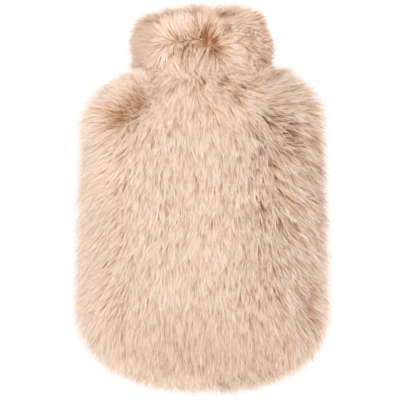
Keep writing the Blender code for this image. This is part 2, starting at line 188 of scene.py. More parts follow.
# --- Settings ---
class PileSizes(bpy.types.PropertyGroup):
    """The sizes of the pile's hairs and locks."""

    hair_length: bpy.props.FloatProperty(
        name="Hair length", description="Length of a hair, from the cloth to its tip",
        default=0.0255, min=0.010, max=0.040, unit="LENGTH",
    )
    hair_width: bpy.props.FloatProperty(
        name="Hair width", description="Width of a hair, which stands for a few fibres that cling together",
        default=0.00033, min=0.0001, max=0.002, precision=5, unit="LENGTH",
    )
    lock_radius: bpy.props.FloatProperty(
        name="Lock radius", description="How far from the middle of its lock a hair grows",
        default=0.0011, min=0.0005, max=0.006, unit="LENGTH",
    )
    draw: bpy.props.FloatProperty(
        name="Draw", description="How far the hairs of a lock draw together at its tip",
        default=0.72, min=0.0, max=1.0, subtype="FACTOR",
    )
    stray: bpy.props.FloatProperty(
        name="Stray hairs", description="Share of the hairs that leave their lock",
        default=0.10, min=0.0, max=1.0, subtype="FACTOR",
    )
    softness: bpy.props.FloatProperty(
        name="Softness", description="How much of a hair's shading follows the whole pile, not its own turn",
        default=0.80, min=0.0, max=1.0, subtype="FACTOR",
    )
    front_locks: bpy.props.IntProperty(
        name="Front locks", description="Locks of pile on the front", default=37500, min=100
    )
    back_locks: bpy.props.IntProperty(
        name="Back locks", description="Locks of pile on the back", default=12200, min=100
    )
    collar_locks: bpy.props.IntProperty(
        name="Collar locks", description="Locks of pile on the collar", default=11500, min=100
    )


class PileColours(bpy.types.PropertyGroup):
    """The colours along a hair, the tints of whole locks, and the cloth's colour."""

    tip: bpy.props.FloatVectorProperty(
        name="Tip", description="Colour of the tips", default=(0.985, 0.89, 0.81), subtype="COLOR"
    )
    middle: bpy.props.FloatVectorProperty(
        name="Middle", description="Colour half way along", default=(0.95, 0.78, 0.635), subtype="COLOR"
    )
    root: bpy.props.FloatVectorProperty(
        name="Root", description="Colour next to the cloth", default=(0.90, 0.575, 0.36), subtype="COLOR"
    )
    even: bpy.props.FloatVectorProperty(
        name="Even tint", description="Tint of a plain lock", default=(0.985, 0.985, 0.985), subtype="COLOR"
    )
    # Painted shade on the body's sideways rim hair, and where the collar's pile lies smooth
    rim_shade: bpy.props.FloatVectorProperty(
        name="Dull tint", description="The dullest tint", default=(0.775, 0.68, 0.61), subtype="COLOR"
    )
    # Locks darker at random use the warm and shade tints, which also paint shade in partings and valleys
    warm: bpy.props.FloatVectorProperty(
        name="Warm tint", description="Tint where it opens", default=(0.80, 0.655, 0.53), subtype="COLOR"
    )
    shade: bpy.props.FloatVectorProperty(
        name="Shade tint", description="The darkest tint", default=(0.42, 0.25, 0.15), subtype="COLOR"
    )
    # The cloth's own colour, made darker as painted shade for where it shows deep between the locks
    backing: bpy.props.FloatVectorProperty(
        name="Backing", description="Colour of the cloth", default=(0.72, 0.48, 0.31), subtype="COLOR"
    )


class StudioSettings(bpy.types.PropertyGroup):
    """The floor, the lights and the camera."""

    floor_glow: bpy.props.FloatProperty(
        name="Floor glow", description="Light that the floor gives", default=0.10, min=0.0, max=1.0
    )
    sky: bpy.props.FloatProperty(
        name="Sky", description="Strength of the light from all round", default=1.51, min=0.0, max=3.0
    )
    key: bpy.props.FloatProperty(
        name="Key light", description="Large light above the upper left", default=25.0, min=0.0, unit="POWER"
    )
    camera_height: bpy.props.FloatProperty(
        name="Camera height", description="Height of the camera above the level that it looks at",
        default=1.6, min=0.5, unit="LENGTH",
    )
    view_width: bpy.props.FloatProperty(
        name="View width", description="Width of the view there", default=0.3664, min=0.1, unit="LENGTH"
    )


# --- Small tools ---
UPRIGHT = np.array([0.0, 0.0, 1.0])


def smooth_step(low, high, value):
    """0 at low, 1 at high and a soft rise between them."""
    share = np.clip((value - low) / (high - low), 0.0, 1.0)
    return share * share * (3 - 2 * share)


def signed_power(value, power):
    return np.sign(value) * np.abs(value) ** power


def bow(share, curve):
    """A superellipse's height where its other axis has this share: 1 at 0, and 0 at 1."""
    return np.maximum(0.0, 1 - np.abs(share) ** curve) ** (1 / curve)


def mix(a, b, share):
    return a + (b - a) * share


def unit(vectors):
    return vectors / np.maximum(np.linalg.norm(vectors, axis=-1, keepdims=True), 1e-12)


def without(vectors, normals):
    """What is left of each vector when its part along this normal is taken away."""
    return vectors - normals * np.sum(vectors * normals, axis=-1, keepdims=True)


def wandering(place, scale, seed):
    """Smooth noise at each place, as vectors."""
    noise.seed_set(NOISE_SEED)
    offset = Vector((seed * 7.3, seed * 3.1, seed * 5.7))
    return np.array([noise.noise_vector(Vector(p) / scale + offset) for p in place])


def clumping(place, scale, seed):
    """The way uphill on smooth noise, and how deep in its valleys each place is, from 0 to 1."""
    here = wandering(place, scale, seed)[:, 0]
    slope = [wandering(place + 0.1 * scale * axis, scale, seed)[:, 0] - here for axis in np.eye(3)]
    return np.stack(slope, axis=-1) * 10, smooth_step(*CLUMP_VALLEY, here)


def rippled(place, seed, *ripples):
    """Smooth noise of several sizes together. Each ripple is its strength and its size."""
    return sum(strength * wandering(place, size, seed + i) for i, (strength, size) in enumerate(ripples))


def within(place, across=None, up=None, mirrored=False):
    """How far inside a zone of the cover each place is, from 0 to 1.

    Each pair is where the zone starts, and where it is full. A mirrored zone is on both sides.
    """
    sideways = np.abs(place[:, 0]) if mirrored else place[:, 0]
    inside = np.ones(len(place))
    if across:
        inside *= smooth_step(*across, sideways)
    if up:
        inside *= smooth_step(*up, place[:, 1] + UP_AT_ORIGIN)
    return inside


def on_front(place, start, full):
    """How far each place belongs to the front, from 0 to 1, by its height above the seam."""
    return smooth_step(SEAM_HEIGHT + start, SEAM_HEIGHT + full, place[:, 2])


def lengthened(across, up):
    """The place up the cover, where the right side reaches past the left, and half as far at the bottom."""
    shoulder = smooth_step(*UNEVEN_SHOULDER, up) * smooth_step(*UNEVEN_ACROSS, np.abs(across))
    return up + UNEVENNESS * across * (shoulder - 0.5 * smooth_step(*UNEVEN_END, up))


# --- The surfaces that the pile grows from and reaches to ---
def body_rows(inner, low_rows, side_rows, shoulder_rows, neck_rows):
    """Rows from the bottom end to the neck's end.

    Each has its place up, half width, rise, drop, and share of the neck's shape.
    """
    inset = RIM_PILE if inner else 0.0
    low_depth = LOW_LINE - LOCK_REACH - inset
    top = SHOULDER_TOP - (SHOULDER_PILE if inner else 0.0)
    neck_width, neck_height = PASSAGE if inner else NECK_OUTSIDE
    front = FRONT_RISE - (FRONT_PILE if inner else 0.0)
    back = BACK_DROP - (BACK_PILE if inner else 0.0)
    low, high = HALF_WIDTH_LOW - inset, HALF_WIDTH_HIGH - inset

    share = np.cos(0.5 * np.pi * np.linspace(0.0, 1.0, low_rows + 1))
    bulge = np.maximum(bow(share, LOW_CURVE), 1e-4)
    ups, halves = [LOW_LINE - low_depth * share], [low * bulge]
    share = np.linspace(0.0, 1.0, side_rows + 1)[1:]
    ups.append(mix(LOW_LINE, HIGH_LINE, share))
    halves.append(mix(low, high, share))
    share = np.sin(0.5 * np.pi * np.linspace(0.0, 1.0, shoulder_rows + 1)[1:])
    ups.append(mix(HIGH_LINE, top, share))
    halves.append(neck_width + (high - neck_width) * bow(share, SHOULDER_CURVE))
    share = np.linspace(0.0, 1.0, neck_rows + 1)[1:]
    ups.append(mix(top, NECK_TOP, share))
    halves.append(np.full(neck_rows, neck_width))

    up, half = np.concatenate(ups), np.concatenate(halves)
    bulge = np.concatenate([bulge, np.ones(len(up) - len(bulge))])
    fall = 1 - bow(np.clip((up - CROWN_START) / (top - CROWN_START), 0.0, 1.0), CROWN_CURVE)
    return up, half, mix(front * bulge, neck_height, fall), mix(back * bulge, neck_height, fall), fall


def body_surface(side, inner, rows=PILE_ROWS, columns=PILE_COLUMNS):
    """A grid of points over a panel's cloth, or over the tips of its pile."""
    up, half, rise, drop, neck = (row[:, None] for row in body_rows(inner, *rows))
    depth = rise if side == "front" else drop
    plan = mix(PLAN_SQUARENESS[side], NECK_SQUARENESS, neck)
    power = mix(RISE_SQUARENESS, NECK_SQUARENESS, neck)
    angle = np.pi * np.linspace(0.0, 1.0, columns)[None, :]
    across = -half * signed_power(np.cos(angle), 2 / plan)
    away = depth * np.sin(angle).clip(0.0) ** (2 / power)
    away = np.maximum(away + SEAM_GAP * (1 - neck), SEAM_GAP)
    height = SEAM_HEIGHT + away if side == "front" else SEAM_HEIGHT - away
    along = lengthened(across, up) - UP_AT_ORIGIN
    return np.stack([across, along, np.maximum(0.0, height)], axis=-1)


def collar_surface(inner, steps=PILE_STEPS):
    """A grid of points over the turned-over collar, from inside its mouth to its hem."""
    first = 0 if inner else 3
    rings = np.array(COLLAR_RINGS)[:, first : first + 3, None] / 1000
    half_width, half_height, up = rings.transpose(1, 0, 2)
    angle = 2 * np.pi * np.linspace(0.0, 1.0, steps + 1)
    power = 2 / NECK_SQUARENESS
    across = half_width * signed_power(np.cos(angle), power)
    height = SEAM_HEIGHT + half_height * signed_power(np.sin(angle), power)
    dome = COLLAR_DOME * np.maximum(0.0, 1 - ((across - CREST) / CREST_REACH) ** 2)
    slant = (COLLAR_SLANT * across + dome) * smooth_step(*SLANTED_UP, up)
    return np.stack([across, up + slant - UP_AT_ORIGIN, np.maximum(0.0, height)], axis=-1)


def scattered(roots, tips, count, chance, weight=None):
    """Places spread over a grid of roots, each with the direction and the depth of its pile.

    They are spread evenly, but denser where the weight is higher, if there is one.
    """
    corners = [tips[:-1, :-1], tips[1:, :-1], tips[1:, 1:], tips[:-1, 1:]]
    area = 0.5 * np.linalg.norm(np.cross(corners[2] - corners[0], corners[3] - corners[1]), axis=-1)
    if weight is not None:
        area = area * weight(0.25 * sum(corners))
    total = np.cumsum(area.ravel())
    wanted = (np.arange(count) + chance.random(count)) * total[-1] / count
    cell = np.minimum(np.searchsorted(total, wanted), total.size - 1)
    row, column = np.unravel_index(cell, area.shape)
    a, b = chance.random((2, count, 1))

    def read(grid):
        low = mix(grid[row, column], grid[row, column + 1], a)
        high = mix(grid[row + 1, column], grid[row + 1, column + 1], a)
        return mix(low, high, b)

    root, tip = read(roots), read(tips)
    return root, unit(tip - root), np.linalg.norm(tip - root, axis=-1)


# --- Combing ---
def as_seen(root, normal, depth):
    """Where the pile above each root is, moved to where the camera above sees it at the seam's height."""
    place = root + depth[:, None] * normal
    nearer = (place[:, 2] - SEAM_HEIGHT) / bpy.context.scene.cover_studio.camera_height
    place[:, :2] *= 1 + nearer[:, None]
    return place


def body_combing(place):
    """The way the body's pile is combed: down the middle, outwards at the sides and round the shoulders."""
    across = place[:, 0]
    share = np.clip(np.abs(across) / HALF_WIDTH_LOW, 0, 1)
    down = np.zeros_like(place)
    down[:, 0] = np.sign(across) * share**SIDE_POWER
    down[:, 1] = -1.0
    round_shoulder = place - np.array([0.0, HIGH_LINE - UP_AT_ORIGIN, 0.0])
    round_shoulder[:, 2] = 0.0
    turned = within(place, up=OVER_SHOULDER_UP) * smooth_step(*OVER_SHOULDER_SHARE, share)
    return mix(unit(down), unit(round_shoulder), turned[:, None])


def collar_combing(place):
    """The collar's pile points away from the middle of its front, round both sides to the back."""
    up, above_seam = COLLAR_MIDDLE
    return unit(place - np.array([0.0, up - UP_AT_ORIGIN, SEAM_HEIGHT + above_seam]))


def combed(place, flow, strokes, reach):
    """The flow with the strokes worked in, each fading away from its middle."""
    front = on_front(place, -0.005, 0.020)
    total = np.ones(len(place))
    for across, up, degrees in strokes:
        away = place[:, :2] - np.array([across / 1000, up / 1000 - UP_AT_ORIGIN])
        hold = STROKE_HOLD * front * np.exp(-np.sum(away * away, axis=-1) / reach**2)
        way = np.array([math.sin(math.radians(degrees)), -math.cos(math.radians(degrees)), 0.0])
        flow = flow + hold[:, None] * way
        total += hold
    return flow / total[:, None]


def drawn_down(flow, way, window):
    """The flow mixed with a way that leads down the cover, as far as the window says."""
    way[:, 1] = np.minimum(way[:, 1], -LEAST_DROP)
    way[:, 2] = 0.0
    return mix(unit(flow), unit(way), window[:, None])


def parted(place, flow, partings):
    """The flow with the partings' push added, how far the pile stands up there, and its painted shade."""
    opened, shaded = np.zeros(len(place)), np.zeros(len(place))
    front = on_front(place, -0.010, 0.015)
    for *lengths, push, openness, shade in partings:
        across, up, end_across, end_up, radius = (length / 1000 for length in lengths)
        start = np.array([across, up - UP_AT_ORIGIN])
        line = np.array([end_across, end_up - UP_AT_ORIGIN]) - start
        share = ((place[:, :2] - start) @ line / max(line @ line, 1e-12)).clip(0.0, 1.0)
        away = place[:, :2] - start - share[:, None] * line
        distance = np.linalg.norm(away, axis=-1)
        fade = np.exp(-((distance / radius) ** 2)) * front
        flow[:, :2] += push * (fade / np.maximum(distance, 1e-4))[:, None] * away
        near = np.exp(-((LOOK_NARROWER * distance / radius) ** 2)) * front
        opened = np.maximum(opened, openness * near)
        shaded = np.maximum(shaded, shade * near)
    return flow, opened, shaded


# --- Locks of hair ---
LEVELS = np.array([0.0, 0.58, 1.0])  # along a hair, from root to tip
TAPER = np.array([0.9, 0.95, 0.0])
HAIRS = 5  # in a lock
BEND = math.radians(24)  # how far a hair turns either way from its mean lean
STRAIGHTEST, FLATTEST = 0.05, math.radians(86)  # the limits of a hair's lean
RISES = (0.05, 0.97)  # the least and the greatest share of its length that a hair rises
OPEN_RISE = 0.80  # how much less it leans where the pile parts
GROUND = 0.0007  # the lowest that a hair lies

# Least and greatest shares, of locks in the first row, and of hairs in the second
LENGTHS, HEIGHTS, SPREADS = (0.88, 1.08), (0.92, 1.10), (0.6, 1.4)
OWN_LENGTHS, DRAWS, WIDTHS = (0.80, 1.0), (0.7, 1.15), (0.75, 1.25)
STRAY_DRAW = -0.6  # a stray hair leaves its lock, in place of drawing in
DRAW_POWER = 1.8  # how late, towards its tip, a hair draws in
LOCK_WAVE, HAIR_WAVE, WAVE_TURN = 0.0012, 0.0005, 1.5  # how far they swing sideways
MOST_TWIST = 1.0  # either way from facing outwards
LIFTED_FACING = 0.6  # how much the pile is shaded as if it faced upwards
ROUNDNESS = 0.35  # how round a lock is shaded
LOCK_TONE, HAIR_TONE, TONES = 0.17, 0.08, (0.03, 0.97)  # how far tones differ, and their limits
STRIP_HALF = 0.02  # half a ribbon's width on the UV map


def hair_paths(locks, flow, side, sizes, chance):
    """Each hair's points from root to tip, and where round its lock's middle its root stands."""
    reach, count = locks["reach"], len(locks["root"])
    length = sizes.hair_length * locks["length"] * chance.uniform(*LENGTHS, count) + reach
    height = locks["depth"] * chance.uniform(*HEIGHTS, count) + reach
    lean = np.arccos(np.clip(height / length, *RISES)) * (1 - OPEN_RISE * locks["opened"])
    first, last = np.maximum(lean - BEND, STRAIGHTEST), np.minimum(lean + BEND, FLATTEST)
    turn = (last - first)[:, None]
    angle = first[:, None] + turn * LEVELS
    rise = (np.sin(angle) - np.sin(first)[:, None]) / turn
    run = (np.cos(first)[:, None] - np.cos(angle)) / turn

    # Each hair's root in its lock, its share of the lock's length, and how it draws in
    shape = (count, HAIRS)
    around = chance.uniform(0, 2 * math.pi, shape)
    out = sizes.lock_radius * chance.uniform(*SPREADS, (count, 1)) * np.sqrt(chance.random(shape))
    own = chance.uniform(*OWN_LENGTHS, shape) * length[:, None]
    drawn = sizes.draw * locks["draw"][:, None] * chance.uniform(*DRAWS, shape)
    drawn = np.where(chance.random(shape) < sizes.stray, STRAY_DRAW, drawn)
    wave = chance.normal(0, LOCK_WAVE, (count, 1)) + chance.normal(0, HAIR_WAVE, shape)

    inward = 1 - drawn[..., None] * LEVELS**DRAW_POWER
    along_flow = (out * np.cos(around))[..., None] * inward + own[..., None] * run[:, None, :]
    beside = (out * np.sin(around))[..., None] * inward + wave[..., None] * np.sin(WAVE_TURN * LEVELS)
    above = own[..., None] * rise[:, None, :]
    path = locks["root"][:, None, None, :] + sum(
        amount[..., None] * axis[:, None, None, :]
        for amount, axis in ((along_flow, flow), (beside, side), (above, locks["normal"]))
    )
    path[..., 2] = np.maximum(path[..., 2], GROUND)
    return path, around


def paired(left, right, middle):
    """Each hair's values at its ribbon's two edges, level by level, and then at its tip."""
    pairs = len(LEVELS) - 1
    total = left.shape[0] * left.shape[1]
    edges = np.stack([left[:, :, :pairs], right[:, :, :pairs]], axis=3)
    return np.concatenate(
        [edges.reshape(total, 2 * pairs, 3), middle[:, :, pairs].reshape(total, 1, 3)], axis=1
    )


def grown(name, locks, sizes, chance):
    """A mesh of locks. Each starts at its root, and its tips reach the pile's depth above the cloth.

    Length, draw and fineness are shares of the sizes. Reach is how far the tips stand past the pile's depth.
    Tone and its variety choose the tint, and pale how far up a hair its root's colour is left behind. Both
    carry painted shade, in partings and in the valleys between clumps, and tone also on the rim and the
    collar.
    """
    normal = locks["normal"]
    flow = unit(without(locks["flow"], normal))
    side = np.cross(normal, flow)
    path, around = hair_paths(locks, flow, side, sizes, chance)
    shape = around.shape

    # Ribbons, each turned at random from facing outwards and up
    tangent = unit(np.gradient(path, axis=2))
    outwards, sideways = normal[:, None, None, :], side[:, None, None, :]
    seen_from = unit(outwards + LIFTED_FACING * smooth_step(-0.3, 0.3, outwards[..., 2:]) * UPRIGHT)
    broad = unit(np.cross(tangent, seen_from + 0.02 * sideways))  # the second part keeps it from being 0
    edge = np.cross(tangent, broad)
    twist = chance.uniform(-MOST_TWIST, MOST_TWIST, (*shape, 1, 1))
    across = np.cos(twist) * broad + np.sin(twist) * edge
    half = 0.5 * sizes.hair_width * chance.uniform(*WIDTHS, (*shape, 1, 1)) * TAPER[None, None, :, None]
    half *= locks["fineness"][:, None, None, None]
    left, right = path - across * half, path + across * half
    left[..., 2], right[..., 2] = np.maximum(left[..., 2], GROUND), np.maximum(right[..., 2], GROUND)

    # The shading follows the pile and the lock's roundness more than the turn of each hair
    own_way = np.cross(across, tangent)
    rounded = np.sin(around)[..., None] * side[:, None, :] + np.cos(around)[..., None] * flow[:, None, :]
    soft = unit(seen_from + ROUNDNESS * rounded[:, :, None, :])
    softness = mix(sizes.softness, 1.0, locks["soft"])[:, None, None, None]
    facing = unit(mix(own_way, soft, softness))

    tone = chance.normal(0, LOCK_TONE, (shape[0], 1)) + chance.normal(0, HAIR_TONE, shape)
    tone = locks["tone"][:, None] + np.minimum(tone * locks["variety"][:, None], 0.0)
    pale = np.repeat(locks["pale"], HAIRS)
    verts, normals = paired(left, right, path), paired(facing, facing, facing)
    return ribbons(name, verts, normals, np.clip(tone, *TONES).ravel(), pale)


def ribbons(name, verts, normals, tone, pale):
    """One mesh of tapering ribbons. Its UV map runs from root to tip one way, and by tone the other way.

    A pale ribbon starts some way along from the root's colour.
    """
    count, points = verts.shape[:2]
    quads = [corner for a in range(0, points - 3, 2) for corner in (a, a + 1, a + 3, a + 2)]
    corners = np.array([*quads, points - 3, points - 2, points - 1])
    level, edge = corners // 2, 2 * (corners % 2) - 1
    edge[-1] = 0

    loops = (points * np.arange(count)[:, None] + corners).astype(np.int32).ravel()
    totals = np.tile(np.array([4] * (len(quads) // 4) + [3], np.int32), count)
    mesh = bpy.data.meshes.new(name)
    mesh.vertices.add(count * points)
    mesh.vertices.foreach_set("co", verts.astype(np.float32).ravel())
    mesh.loops.add(len(loops))
    mesh.loops.foreach_set("vertex_index", loops)
    mesh.polygons.add(len(totals))
    mesh.polygons.foreach_set("loop_start", (np.cumsum(totals) - totals).astype(np.int32))
    mesh.polygons.foreach_set("loop_total", totals)
    mesh.update(calc_edges=True)
    uv = np.empty((count, len(corners), 2), np.float32)
    uv[..., 0] = np.clip(1 - (1 - LEVELS[level]) * (1 - pale[:, None]), 0.01, 0.99)
    uv[..., 1] = tone[:, None] + STRIP_HALF * edge
    mesh.uv_layers.new(name="OFBake").data.foreach_set("uv", uv.ravel())
    mesh.shade_smooth()
    mesh.normals_split_custom_set_from_vertices(normals.reshape(-1, 3))
    piece = bpy.data.objects.new(name, mesh)
    bpy.context.scene.collection.objects.link(piece)
    return piece


def dressed(name, locks, parts, seed, nodes, material):
    """Grows the locks as a few pieces, which stand for these solids."""
    sizes = bpy.context.scene.cover_pile
    for part, chosen in enumerate(np.array_split(np.arange(len(locks["root"])), parts)):
        chance = np.random.default_rng(seed + part)
        own = {key: values[chosen] for key, values in locks.items()}
        piece = grown(f"{name}_{part + 1}", own, sizes, chance)
        piece.data.materials.append(material)
        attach(piece, BODY)
        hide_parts(*nodes)


def front_density(place):
    """More locks at the neck's end, and beside the neck, where the pile spreads."""
    up = place[..., 1] + UP_AT_ORIGIN
    across = (np.abs(place[..., 0]) - NECK_EDGE[0]) / NECK_EDGE_REACH
    along = (up - NECK_EDGE[1]) / NECK_EDGE_REACH
    return 1 + 2 * (up > THICK_END) + 3 * np.exp(-(across**2) - along**2)


def back_density(place):
    """Fewer locks where the back lies on the floor."""
    return 0.35 + 0.65 * (place[..., 2] > 0.002)


def rim_smoothness(normal, on_right):
    """How smooth the pile lies where it faces sideways, which is less on the right."""
    return smooth_step(*RIM_FACING, 1 - np.abs(normal[:, 2])) * (1 - RIGHT_ROUGHNESS * on_right)


def body_zones(side, root, normal):
    """How far each root is in each zone of the body, and how smooth and how rough its pile is."""
    at = SimpleNamespace(
        left=within(root, across=(-0.055, -0.095)),
        right=within(root, across=(0.005, 0.080)),
        low=within(root, up=(0.170, 0.060)),
        bottom=within(root, across=(-0.090, -0.060), up=(0.110, 0.040)),
        middle=within(root, across=(0.080, 0.040), up=(0.270, 0.235), mirrored=True),
        neck=within(root, across=(0.062, 0.045), up=(0.240, 0.275), mirrored=True),
        right_of_pinch=within(root, across=(-0.045, -0.005), up=(0.235, 0.285)),
    )
    at.smooth = np.maximum(rim_smoothness(normal, at.right), 0.8 * at.left)
    at.smooth *= 1 - at.neck
    at.smooth *= 1 - 0.8 * at.bottom
    busy = np.maximum(at.right * (1 - 0.7 * at.low), at.right_of_pinch)
    at.rough = 0.25 + 0.75 * busy * (side == "front")
    return at


def raised(root, normal, depth):
    """The front's pile grows straight up along the middle, and over the crown before the neck."""
    share = np.abs(root[:, 0]) / (HALF_WIDTH_LOW - RIM_PILE)
    crown = within(root, across=(0.056, 0.030), up=(0.235, 0.270), mirrored=True)
    normal[:, 0] *= 1 - 0.9 * smooth_step(0.95, 0.60, share) * within(root, up=(0.270, 0.235))
    normal = unit(mix(unit(normal), UPRIGHT, 0.9 * crown[:, None]))
    return normal, mix(depth, NECK_PILE, crown), crown


def rim_reach(root, normal):
    """How far each root faces outwards, and how far its pile reaches past the solids' own.

    The rim's loose hair reaches less far at both ends, and a tuft's pile reaches farther.
    """
    outward = (1 - np.abs(normal[:, 2])) ** 2
    ends = (1 - 0.85 * within(root, up=(0.262, 0.292))) * within(root, up=(-0.050, 0.070))
    reach = RIM_REACH * outward * ends
    for across, up, radius, extra in TUFTS:
        away = np.hypot(root[:, 0] - across, root[:, 1] + UP_AT_ORIGIN - up) / radius
        reach += extra * np.exp(-(away**2))
    return outward, reach


def body_locks(side, count, seed, density):
    """Where the body's locks grow, and how each lies."""
    chance = np.random.default_rng(seed)
    cloth_grid, tip_grid = body_surface(side, True), body_surface(side, False)
    root, normal, depth = scattered(cloth_grid, tip_grid, count, chance, density)
    outward, reach = rim_reach(root, normal)
    at = body_zones(side, root, normal)
    crown = np.zeros(count)
    if side == "front":
        normal, depth, crown = raised(root, normal, depth)

    combing = body_combing(root)
    seen = as_seen(root, normal, depth) + FLOW_REACH * unit(combing)
    shifted = seen + 0.005 * wandering(root, 0.016, seed + 3)
    flow = combed(shifted, combing, BODY_STROKES, BODY_STROKE_REACH)
    if side == "front":
        from_pinch = seen - np.array([PINCH[0], PINCH[1] - UP_AT_ORIGIN, 0.0])
        by_pinch = np.exp(-((from_pinch[:, 0] / PINCH_WIDTH) ** 2)) * within(root, up=PINCH_UP)
        flow = drawn_down(flow, from_pinch, PINCH_HOLD * by_pinch)
    flow, opened, shaded = parted(seen, flow, BODY_PARTINGS)
    normal = unit(mix(normal, UPRIGHT, OPEN_LIFT * opened[:, None]))
    smooth, rough = at.smooth * (1 - opened), at.rough
    uphill, valley = clumping(root, 0.009, seed + 4)
    uneven = rippled(root, seed, (0.28, 0.030), (0.34, 0.008))
    uneven += chance.normal(0, 0.22, flow.shape) * (1 + 1.5 * shaded[:, None] + 2.6 * opened[:, None])
    uneven *= (1 - 0.55 * smooth[:, None]) * (1 - 0.45 * crown[:, None])
    flow = unit(flow) + uneven + CLUMPING * rough[:, None] * uphill
    lumps = 1 + 0.09 * wandering(root, 0.014, seed + 2)[:, 0] * (1 - 0.6 * smooth)

    variety = 0.52 + 1.5 * rough + 0.4 * at.right * (1 - at.low) + 0.3 * at.bottom - 0.50 * smooth
    variety += 0.7 * shaded
    # Painted shade: the rim's loose hair, which faces sideways, gets a darker tint
    tone = EVEN_TONE + RIM_SHADE * outward * (1 - 0.5 * at.right) - 0.10 * at.bottom - 0.06 * at.left
    # Painted shade: where the pile parts, its tint is darker and warmer
    tone -= PARTING_SHADE * shaded
    # Painted shade: darker in the valleys between clumps
    tone -= VALLEY_SHADE * rough * valley
    return {
        "root": root,
        "normal": normal,
        "depth": depth * lumps,
        "flow": flow,
        "opened": opened,
        "length": 1 - SHADED_SHORTNESS * shaded.clip(0, 1),
        "reach": reach,
        "draw": 1 + 0.3 * rough - 0.9 * smooth + 0.6 * opened,
        "variety": variety,
        "fineness": 1 - 0.35 * smooth,
        "soft": 0.6 * smooth,
        "tone": tone,
        # painted shade: in partings and valleys the root's colour reaches further up each hair
        "pale": 0.35 * np.maximum(at.right, at.middle) - 0.9 * shaded - 0.4 * rough * valley,
    }


def collar_locks(count, seed):
    """Where the collar's locks grow, and how each lies."""
    chance = np.random.default_rng(seed)
    root, normal, depth = scattered(collar_surface(True), collar_surface(False), count, chance)
    seen = as_seen(root, normal, depth)
    shifted = seen + 0.003 * wandering(root, 0.010, seed + 3) + chance.normal(0, 0.0045, seen.shape)
    flow = combed(shifted, collar_combing(root), COLLAR_STROKES, COLLAR_STROKE_REACH)

    # Low on the collar's front, from the left to just past the middle, the pile is drawn to the pinch
    window = within(root, across=(-0.042, -0.026), up=(0.324, 0.316))
    window *= within(root, across=(0.014, 0.002)) * (root[:, 2] > SEAM_HEIGHT)
    to_pinch = np.array([PINCH[0], PINCH[1] - COLLAR_PINCH_DROP - UP_AT_ORIGIN, 0.0]) - root
    flow = drawn_down(flow, to_pinch, COLLAR_PINCH_HOLD * window)
    flow, opened, shaded = parted(seen, flow, COLLAR_PARTINGS)

    on_right = within(root, across=(0.012, 0.045))
    smooth = np.maximum(rim_smoothness(normal, on_right), within(root, across=(-0.020, -0.034)))
    smooth *= 1 - 0.8 * window
    rough = 0.15 + 0.85 * within(root, across=(-0.035, -0.005))
    right_corner = within(seen, across=(0.015, 0.062))
    left_corner = LEFT_CORNER * within(seen, across=(-0.010, -0.055))
    corner = within(seen, up=(0.325, 0.348)) * np.maximum(right_corner, left_corner)
    uphill, valley = clumping(root, 0.008, seed + 4)
    uneven = rippled(root, seed, (0.24, 0.012), (0.24, 0.006))
    uneven += chance.normal(0, 0.15, flow.shape) * (1 + 3.0 * shaded[:, None] + opened[:, None])
    uneven *= 1 - 0.88 * smooth[:, None]
    # Painted shade: a darker tint on the collar's right side and where its pile lies smooth
    tone = COLLAR_TONE - 0.20 * on_right + 0.46 * smooth
    # Painted shade: where the pile parts, its tint is darker and warmer
    tone -= PARTING_SHADE * shaded
    # Painted shade: darker in the valleys between clumps
    tone -= VALLEY_SHADE * rough * valley
    shortness = 1 - SHADED_SHORTNESS * shaded.clip(0, 1)
    return {
        "root": root,
        "normal": unit(mix(normal, UPRIGHT, OPEN_LIFT * opened[:, None])),
        "depth": depth,
        "flow": unit(flow) + uneven + CLUMPING * rough[:, None] * uphill,
        "opened": opened,
        "length": shortness * (0.78 + 0.22 * np.maximum(smooth, window)),
        "reach": -CORNER_DROP * corner,
        "draw": 1 + 0.3 * rough - 0.9 * smooth,
        "variety": 1 + 0.5 * rough + 0.9 * on_right - 0.95 * smooth + 0.6 * shaded,
        "fineness": 1 - 0.30 * smooth,
        "soft": 0.8 * smooth,
        "tone": tone,
        # painted shade: in partings and valleys the root's colour reaches further up each hair
        "pale": 0.45 - 0.3 * on_right - 0.15 * smooth - shaded - 0.3 * rough * valley,
    }


# --- Materials ---
STITCH_WIDTH, STITCH_HEIGHT = 0.0014, 0.0012
BANDS = 1 / 3.2  # the wave texture's scale for bands about one unit wide
COLOUR_A, COLOUR_B, COLOUR_RESULT = 6, 7, 2  # the colour sockets of a mixing node


def opaque(colour):
    return (*colour, 1.0)


def new_material(name, roughness):
    """A material with its nodes, their links and its main shader."""
    material = bpy.data.materials.new(name)
    material.use_nodes = True
    nodes = material.node_tree.nodes
    shader = nodes["Principled BSDF"]
    shader.inputs["Roughness"].default_value = roughness
    return material, nodes, material.node_tree.links, shader


def ramp(nodes, links, value, stops):
    """A value turned into a colour, which changes from stop to stop."""
    node = nodes.new("ShaderNodeValToRGB")
    elements = node.color_ramp.elements
    for element, (position, colour) in zip(elements, (stops[0], stops[-1])):
        element.position, element.color = position, opaque(colour)
    for position, colour in stops[1:-1]:
        elements.new(position).color = opaque(colour)
    links.new(value, node.inputs["Fac"])
    return node.outputs["Color"]


def multiplied(nodes, links, first, second):
    """The product of two colours."""
    node = nodes.new("ShaderNodeMix")
    node.data_type = "RGBA"
    node.blend_type = "MULTIPLY"
    node.inputs["Factor"].default_value = 1.0
    links.new(first, node.inputs[COLOUR_A])
    links.new(second, node.inputs[COLOUR_B])
    return node.outputs[COLOUR_RESULT]


def blended(nodes, links, first, second):
    """Makes the surface a blend of two shaders, and gives the second one's share."""
    node = nodes.new("ShaderNodeMixShader")
    links.new(first, node.inputs[1])
    links.new(second, node.inputs[2])
    links.new(node.outputs["Shader"], nodes["Material Output"].inputs["Surface"])
    return node.inputs["Fac"]


